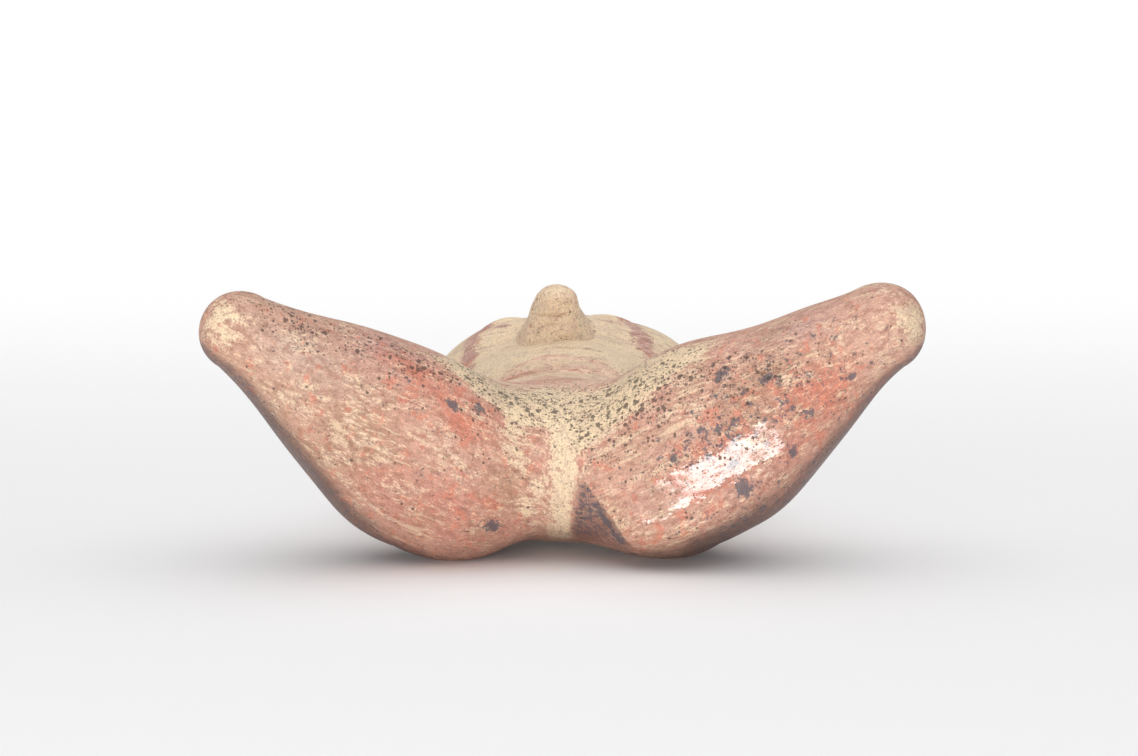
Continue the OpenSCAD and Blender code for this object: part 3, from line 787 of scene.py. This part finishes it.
# the burnished band low on the left thigh: a point on its upper edge, its run and its way down
# the thigh; the thigh is rubbed a little flatter there and near the crotch
gloss = dict(at=(27.6, 0, 29.1), along=(0.87, 0.03, 0.49), down=(0.49, 0, -0.87), ends=(-19, 18),
             edges=(3.8, 11.2), tall=30, rub=0.7, rubDown=18, rubHalf=10, rubEnds=(-28, -18, 24, 40),
             rubMore=0.9, crotch=0.32, crotchAlong=-23, crotchDown=8, crotchLong=6, crotchWide=7,
             thighTop=(16, 10))


def bandAt(p):
    # the band's shine, from 0 to 1, and how high the rubbed face stands over the round thigh
    g, x, y = gloss, p[:, 0], p[:, 1]
    along, down = (p - g["at"]) @ g["along"], (p - g["at"]) @ g["down"]
    low, high = g["ends"]
    shine = smooth(low - 3, low + 2, along) * smooth(high + 3, high - 2, along)
    low, high = g["edges"]
    shine *= smooth(low - 2, low + 1.5, down) * smooth(high + 2, high - 1.5, down)
    shine *= (x > 0) * (y < g["tall"])
    first, full, last, gone = g["rubEnds"]
    flatter = np.exp(-(((down - g["rubDown"]) / g["rubHalf"]) ** 2))
    flatter *= smooth(first, full, along) * smooth(gone, last, along)
    flatter *= g["rub"] * (1 + g["rubMore"] * smooth(0, 20, along))
    far = ((along - g["crotchAlong"]) / g["crotchLong"]) ** 2
    far += ((down - g["crotchDown"]) / g["crotchWide"]) ** 2
    flatter += g["crotch"] * np.exp(-far) * smooth(0.5, 5, x)
    return shine, flatter * (x > 0) * smooth(*g["thighTop"], y)


def blotchesAt(q):
    # a bell round the middle of each single blotch
    bells = [np.exp(-((q - middle) ** 2).sum(axis=1) / r**2) for *middle, r in blotches]
    return np.max(bells, axis=0)


paintLayers = ("cream", "yellow", "strip", "veilAndSheen", "grimeAndShade", "blot", "fine", "blotch", "fresh",
               "gloss", "flatter")


def paintPiece(obj, onNose):
    mesh = obj.data
    flat = np.empty(len(mesh.vertices) * 3)
    mesh.vertices.foreach_get("co", flat)
    p = flat.reshape(-1, 3) * 1000 + (0, halfTall, 0)
    normals = np.empty(len(p) * 3)
    mesh.vertices.foreach_get("normal", normals)
    drift = np.stack([wander(p, seed, 7, 22) for seed in (31, 32, 33)], axis=-1)
    q = p + edges["drift"] * drift
    strip, headward, trunkZone = slipShares(p, q, drift)
    ridge = places(q, creamSpots)
    foot = places(q, footSpots)
    band = duskyBands(p, q) * headward
    # the trunk is streaked from side to side
    stripe = 1.4 * wander(p * (0.12, 1, 0.4), 41, 3, 8)
    cream = np.maximum.reduce([np.clip(ridge, 0, 0.8), 0.7 * strip, 0.7 * np.clip(foot, 0, 1),
                               0.85 * headward * (1 - 0.75 * band),
                               0.6 * trunkZone * smooth(0.0, -0.7, stripe)])
    shade = shadeAt(q)
    coats = (("plum", 1.2 * band), ("chest", 0.9 * trunkZone),
             ("blush", trunkZone * smooth(0, 0.8, stripe)),
             ("rust", trunkZone * smooth(*edges["belly"], p[:, 1]) * 0.7),
             ("chest", onNose * np.full(len(p), 0.75)))
    for name, share in coats:
        share = np.clip(share, 0, 1)[:, None]
        shade += (np.array(linearColour(slipColours[name])[:3]) - shade) * share
    # painted shade on faces turned down, none on the nose
    under = undersideShadeAt(p, normals.reshape(-1, 3)) * (1 - onNose)
    smudge, line = smearAt(p, q)
    shine, flatter = bandAt(p)
    layers = (
        cream * (1 - 0.3 * onNose),
        np.clip(ridge, 0, 1) + 0.45 * headward,
        np.maximum(0.55 * strip, 0.9 * headward),
        places(q, veilAndSheenSpots),
        # painted shade on faces turned down, the smear, and dirt with painted shade in the creases
        under + 0.85 * smudge + 0.7 * creaseDirtAndShadeAt(p, onNose),
        # grey blotches, the smear's black line, and painted shade broken into blotches on faces turned
        # down
        np.maximum.reduce([blotchesAt(q), 0.9 * line, 0.49 * smudge, 0.4 * under]),
        0.38 + places(q, fineSpots) - 0.2 * strip - 0.12 * headward + 0.2 * onNose,
        0.3 + places(q, blotchSpots) - 0.3 * strip - 0.5 * headward - 0.4 * foot,
        places(q, freshSpots),
        shine,
        flatter,
    )
    for name, value in zip(paintLayers, layers):
        layer = mesh.attributes.new(name, "FLOAT", "POINT")
        layer.data.foreach_set("value", np.clip(value, 0, 1.5).astype(np.float32))
    for name, value in (("flow", flowAt(p)), ("shade", shade)):
        layer = mesh.attributes.new(name, "FLOAT_VECTOR", "POINT")
        layer.data.foreach_set("vector", value.astype(np.float32).ravel())


for node, piece in pieces.items():
    paintPiece(piece, 1.0 if node == "nose" else 0.0)
print("paint laid out")


def addNode(tree, kind, links=(), out=0, **settings):
    # adds a node and gives back one output; links give its sockets, in order or by name, a
    # value, a colour or another node's output
    node = tree.nodes.new("ShaderNode" + kind)
    for key, value in settings.items():
        setattr(node, key, value)
    for key, value in links.items() if isinstance(links, dict) else enumerate(links):
        if isinstance(value, bpy.types.NodeSocket):
            tree.links.new(value, node.inputs[key])
        else:
            node.inputs[key].default_value = value
    return node.outputs[out] if len(node.outputs) else None


# noises along the burnishing: waves per millimetre along it and two across, detail, roughness;
# streaks are about 8 by 1.5 mm, lines 25 by 0.7 mm and scratches 1.2 by 0.4 mm
flowNoises = dict(
    streak=((0.1, 0.45, 0.45), 7.0, 0.66), lines=((0.04, 1.1, 1.1), 4.0, 0.6),
    scratch=((0.8, 2.4, 2.4), 4.0, 0.7), mottle=((0.12, 0.28, 0.28), 8.0, 0.68),
    patch=((0.38, 0.72, 0.72), 7.0, 0.72),
)
# noises alike in all directions: waves per millimetre, detail, roughness
evenNoises = dict(
    cloud=(0.07, 4.0, 0.55), grain=(2.2, 5.0, 0.7), frost=(3.2, 4.0, 0.75), orange=(0.36, 6.0, 0.66),
    crackle=(0.42, 5.0, 0.66), ragged=(0.5, 8.0, 0.76), torn=(0.9, 6.0, 0.72), dots=(1.5, 5.0, 0.76),
    wave=(0.3, 1.0, 0.5),
)
# round manganese specks: cell in millimetres, how rare the large ones are, radius, edge
speckSizes = ((0.62, 1.6, 0.8, 5.0), (1.2, 2.6, 0.75, 8.0))


def burnishedSlip(name):
    # coloured slip, burnished with a pebble before a low firing, later worn and stained:
    # a waxy half gloss, streaks along the burnishing, black manganese specks in the face
    material = bpy.data.materials.new(name)
    material.use_nodes = True
    tree = material.node_tree
    tree.nodes.clear()
    add = partial(addNode, tree)
    colour = {key: linearColour(text) for key, text in slipColours.items()}
    laid = {key: add("Attribute", out="Fac", attribute_name=key) for key in paintLayers}
    flow = add("Attribute", out="Vector", attribute_name="flow")
    ownShade = add("Attribute", out="Vector", attribute_name="shade")
    onPiece = add("TexCoord", out="Object")
    inMm = add("VectorMath", (onPiece, (1000, 1000, 1000)), operation="MULTIPLY")
    noise = {}
    for key, (waves, detail, rough) in flowNoises.items():
        run = add("VectorMath", (flow, waves), operation="MULTIPLY")
        noise[key] = add("TexNoise", {"Vector": run, "Scale": 1.0, "Detail": detail, "Roughness": rough})
    for key, (waves, detail, rough) in evenNoises.items():
        noise[key] = add("TexNoise", {"Vector": inMm, "Scale": waves, "Detail": detail,
                                      "Roughness": rough})

    def stir(start, clamp=False, **weights):
        # a start value plus each noise, counted from its middle, times its weight
        for key, weight in weights.items():
            start = add("Math", (noise[key], weight, start), operation="MULTIPLY_ADD")
        return add("Math", (start, sum(weights.values()) / 2), operation="SUBTRACT", use_clamp=clamp)

    def lay(under, over, source, low, high, top=1.0, blend="MIX"):
        # one colour laid over another, from not at all where the source is low to top where high
        share = add("MapRange", (source, low, high, 0.0, top), interpolation_type="SMOOTHSTEP")
        return add("Mix", {0: share, 6: under, 7: over}, out=2, data_type="RGBA", blend_type=blend)

    def strongest(*sources):
        # the largest of several soft steps, each a source with its low, high and top
        most = 0.0
        for source, low, high, top in sources:
            share = add("MapRange", (source, low, high, 0.0, top), interpolation_type="SMOOTHSTEP")
            most = add("Math", (most, share), operation="MAXIMUM")
        return most

    # red slip: its own shades, mottled paler and deeper and streaked along the burnishing
    red = lay(ownShade, colour["ashPink"], noise["mottle"], 0.5, 0.66, 0.45)
    red = lay(red, colour["salmon"], noise["streak"], 0.5, 0.6, 0.4)
    red = lay(red, colour["deep"], noise["patch"], 0.5, 0.4, 0.6, "MULTIPLY")
    red = lay(red, colour["tan"], noise["cloud"], 0.5, 0.64, 0.35)
    fresh = add("Math", (laid["fresh"], 0.12, noise["orange"]), operation="MULTIPLY_ADD")
    red = lay(red, colour["bright"], fresh, 0.57, 0.63, 0.75)
    # cream slip, yellower on the ridges and palest down the middle
    cream = lay(colour["cream"], colour["yellow"], stir(laid["yellow"], mottle=1.2), 0.25, 0.9)
    pale = add("Math", (laid["strip"], 0.7), operation="MULTIPLY")
    cream = add("Mix", {0: pale, 6: cream, 7: colour["strip"]}, out=2, data_type="RGBA")
    cream = lay(cream, colour["tan"], noise["patch"], 0.5, 0.66, 0.4)
    cream = lay(cream, colour["ashPink"], noise["mottle"], 0.5, 0.4, 0.35)
    cream = lay(cream, colour["brown"], noise["lines"], 0.54, 0.66, 0.22)
    base = lay(red, cream, stir(laid["cream"], streak=1.3, patch=1.3, grain=0.9), 0.3, 0.66)
    # flecks of cream where the red has worn through, and in the most worn places a web of thin
    # scratches, where a noise crosses its middle
    thin = add("Math", (laid["veilAndSheen"], 0.06), operation="MULTIPLY")
    worn = stir(thin, mottle=0.55, patch=0.5)
    scratched = add("Math", (noise["scratch"], worn), operation="ADD")
    frosted = add("Math", (noise["frost"], worn), operation="ADD")
    lined = stir(noise["lines"], cloud=0.5)
    crossing = add("Math", (stir(0.0, crackle=1.0),), operation="ABSOLUTE")
    cut = add("MapRange", (crossing, 0.022, 0.006, 0.0, 0.8), interpolation_type="SMOOTHSTEP")
    most = add("MapRange", (worn, 0.03, 0.16, 0.0, 1.0), interpolation_type="SMOOTHSTEP")
    web = add("Math", (cut, most), operation="MULTIPLY")
    flecks = strongest((scratched, 0.58, 0.66, 0.75), (frosted, 0.63, 0.7, 0.8),
                       (lined, 0.6, 0.66, 0.55))
    flecks = add("Math", (flecks, web), operation="MAXIMUM")
    base = add("Mix", {0: flecks, 6: base, 7: colour["cream"]}, out=2, data_type="RGBA")
    # a pale veil laid over the colour: worn film, partly painted sheen
    base = lay(base, colour["veilAndSheen"], stir(laid["veilAndSheen"], patch=1.8), 0.35, 1.3, 0.4)
    # fine light and dark grain of the clay
    tone = add("MapRange", (stir(noise["grain"], patch=0.7), 0.25, 0.75, 0.62, 1.34))
    grey = add("CombineColor", (tone, tone, tone))
    base = add("Mix", {0: 0.9, 6: base, 7: grey}, out=2, data_type="RGBA", blend_type="MULTIPLY")
    # painted shade on faces turned down, the smear, and dirt with painted shade round the nose's foot
    # and in the mouth darken what they lie on, broken up by the worn face
    grimeAndShade = stir(laid["grimeAndShade"], patch=2.8, grain=1.4, streak=1.2)
    base = lay(base, colour["grimeAndShade"], grimeAndShade, 0.3, 1.0, 0.9, "MULTIPLY")
    # manganese: grey blotches with ragged edges, and painted shade broken into blotches on faces turned
    # down, then specks 0.2 to 0.8 mm wide
    ragged = add("Math", (laid["blotch"], 0.1, noise["ragged"]), operation="MULTIPLY_ADD")
    blotch = strongest((stir(ragged, grain=0.16), 0.665, 0.7, 0.85),
                       (stir(laid["blot"], torn=2.2, grain=0.9), 0.42, 0.58, 0.85))
    base = add("Mix", {0: blotch, 6: base, 7: colour["blotch"]}, out=2, data_type="RGBA")
    bent = add("TexNoise", {"Vector": inMm, "Scale": 2.2, "Detail": 3.0}, out="Color")
    shift = add("VectorMath", (bent, (0.8, 0.8, 0.8), inMm), operation="MULTIPLY_ADD")
    amount = stir(laid["fine"], clamp=True, mottle=1.2)
    dotted = add("Math", (amount, 0.1, noise["dots"]), operation="MULTIPLY_ADD")
    specks = strongest((dotted, 0.67, 0.7, 1.0))
    for cell, rare, size, sharp in speckSizes:
        distance = add("TexVoronoi", {"Vector": shift, "Scale": 1 / cell}, out="Distance", feature="F1")
        chance = add("SeparateColor", (distance.node.outputs["Color"],))
        rarely = add("Math", (chance, rare), operation="POWER")
        radius = add("Math", (rarely, size), operation="MULTIPLY")
        radius = add("Math", (radius, amount), operation="MULTIPLY")
        inside = add("Math", (radius, distance), operation="SUBTRACT")
        spot = add("Math", (inside, sharp), operation="MULTIPLY", use_clamp=True)
        specks = add("Math", (specks, spot), operation="MAXIMUM")
    dark = add("Math", (specks, 0.8), operation="MULTIPLY")
    base = add("Mix", {0: dark, 6: base, 7: colour["speck"]}, out=2, data_type="RGBA")

    # gloss: burnished high spots against matte pits and worn slip
    bright = add("Math", (laid["gloss"], 0.75), operation="MULTIPLY")
    polish = strongest((stir(bright, scratch=1.2, patch=2.2, grain=0.8), 0.45, 0.6, 1.0))
    clear = add("Math", (1.0, specks), operation="SUBTRACT")
    polish = add("Math", (polish, clear), operation="MULTIPLY")
    rough = add("MapRange", (polish, 0.0, 1.0, 0.42, 0.22))
    matte = add("Math", (flecks, specks), operation="MAXIMUM")
    rough = add("Math", (matte, 0.14, rough), operation="MULTIPLY_ADD")
    shader = add("BsdfPrincipled", {"Base Color": base, "Roughness": rough, "IOR": 1.5,
                                    "Coat Weight": polish, "Coat Roughness": 0.12, "Coat IOR": 1.6})
    # the wax skin lies over the fine grain and follows only the larger unevenness
    skin = add("Math", (laid["flatter"], 8.9), operation="MULTIPLY")
    skin = stir(skin, wave=0.3)
    pitted = add("Math", (specks, -0.3, skin), operation="MULTIPLY_ADD")
    height = stir(pitted, patch=1.1, mottle=1.4, grain=0.4, scratch=0.5)
    for socket, relief in (("Normal", height), ("Coat Normal", skin)):
        bump = add("Bump", {"Height": relief, "Strength": 0.6, "Distance": 0.0005})
        tree.links.new(bump, shader.node.inputs[socket])
    add("OutputMaterial", {"Surface": shader})
    return material


redSlip = burnishedSlip("redSlipClay")
creamSlip = burnishedSlip("creamSlipClay")
creamPieces = ("head_shell", "nose", "right_eye", "left_eye", "right_ear", "left_ear")
for node, piece in pieces.items():
    piece.data.materials.clear()
    piece.data.materials.append(creamSlip if node in creamPieces else redSlip)
    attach(piece, "root")
    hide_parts(node)
print("materials given")

# STAGE
stage = dict(width=6.0, front=-2.2, back=2.2, bend=0.5, height=2.6, steps=24, fade=(-0.08, 0.5),
             paper="#EFEFF0")


def makeSheet():
    # one white sheet: flat floor, a quarter bend, then up behind the object
    a = np.linspace(0, math.pi / 2, stage["steps"])
    y = np.concatenate([[stage["front"]], stage["back"] + stage["bend"] * np.sin(a),
                        [stage["back"] + stage["bend"]]])
    z = np.concatenate([[0], stage["bend"] * (1 - np.cos(a)), [stage["height"]]])
    n = len(y)
    left = np.stack([np.full(n, -stage["width"] / 2), y, z], axis=-1)
    right = left * (-1, 1, 1)
    points = np.concatenate([left, right])
    i = np.arange(n - 1)
    faces = np.stack([i, i + n, i + n + 1, i + 1], axis=-1)
    mesh = bpy.data.meshes.new("whiteSheet")
    mesh.from_pydata(points.tolist(), [], faces.tolist())
    mesh.polygons.foreach_set("use_smooth", np.ones(len(faces), bool))
    mesh.update()
    sheet = bpy.data.objects.new("whiteSheet", mesh)
    bpy.context.scene.collection.objects.link(sheet)
    return sheet


def paperWhite():
    # matte white paper: near the object it takes its shadow, behind it fades to plain white
    material = bpy.data.materials.new("whitePaper")
    material.use_nodes = True
    tree = material.node_tree
    tree.nodes.clear()
    add = partial(addNode, tree)
    onSheet = add("TexCoord", out="Object")
    back = add("SeparateXYZ", (onSheet,), out="Y")
    fade = add("MapRange", (back, stage["fade"][0], stage["fade"][1], 0.0, 1.0),
               interpolation_type="SMOOTHSTEP")
    seen = add("LightPath", out="Is Camera Ray")
    share = add("Math", (fade, seen), operation="MULTIPLY")
    paper = add("BsdfDiffuse", {"Color": linearColour(stage["paper"])})
    white = add("Emission", {"Color": (1, 1, 1, 1), "Strength": 1.0})
    add("OutputMaterial", {"Surface": add("MixShader", (share, paper, white))})
    return material


makeSheet().data.materials.append(paperWhite())

world = bpy.data.worlds.new("studio")
world.use_nodes = True
world.node_tree.nodes["Background"].inputs[0].default_value = (1, 1, 1, 1)
world.node_tree.nodes["Background"].inputs[1].default_value = 0.32
bpy.context.scene.world = world


def softLamp(name, at, aim, size, power):
    # a soft box: a rectangle that shines towards a point
    lamp = bpy.data.lights.new(name, "AREA")
    lamp.shape = "RECTANGLE"
    lamp.size, lamp.size_y = size
    lamp.energy = power
    obj = bpy.data.objects.new(name, lamp)
    obj.location = at
    obj.rotation_euler = (Vector(aim) - Vector(at)).to_track_quat("-Z", "Y").to_euler()
    bpy.context.scene.collection.objects.link(obj)
    return obj


lamps = dict(
    overhead=dict(at=(0.1, -0.1, 1.4), aim=(0, 0, 0), size=(3.0, 3.0), power=30.0),
    front=dict(at=(-0.22, -0.95, 0.08), aim=(0.02, -0.08, 0.03), size=(1.0, 0.155), power=5.9),
)
for name, lamp in lamps.items():
    softLamp(name, lamp["at"], lamp["aim"], lamp["size"], lamp["power"])

camera = bpy.data.cameras.new("camera")
camera.sensor_width = 36.0
camera.lens = 101.3
camera.clip_start = 0.05
camera.clip_end = 50.0
cameraObject = bpy.data.objects.new("camera", camera)
cameraObject.location = (0.0015, -0.7744, 0.1406)
cameraObject.rotation_euler = (math.radians(82.02), 0, 0)
bpy.context.scene.collection.objects.link(cameraObject)
bpy.context.scene.camera = cameraObject
bpy.context.scene.view_settings.view_transform = "Standard"
print("stage set")
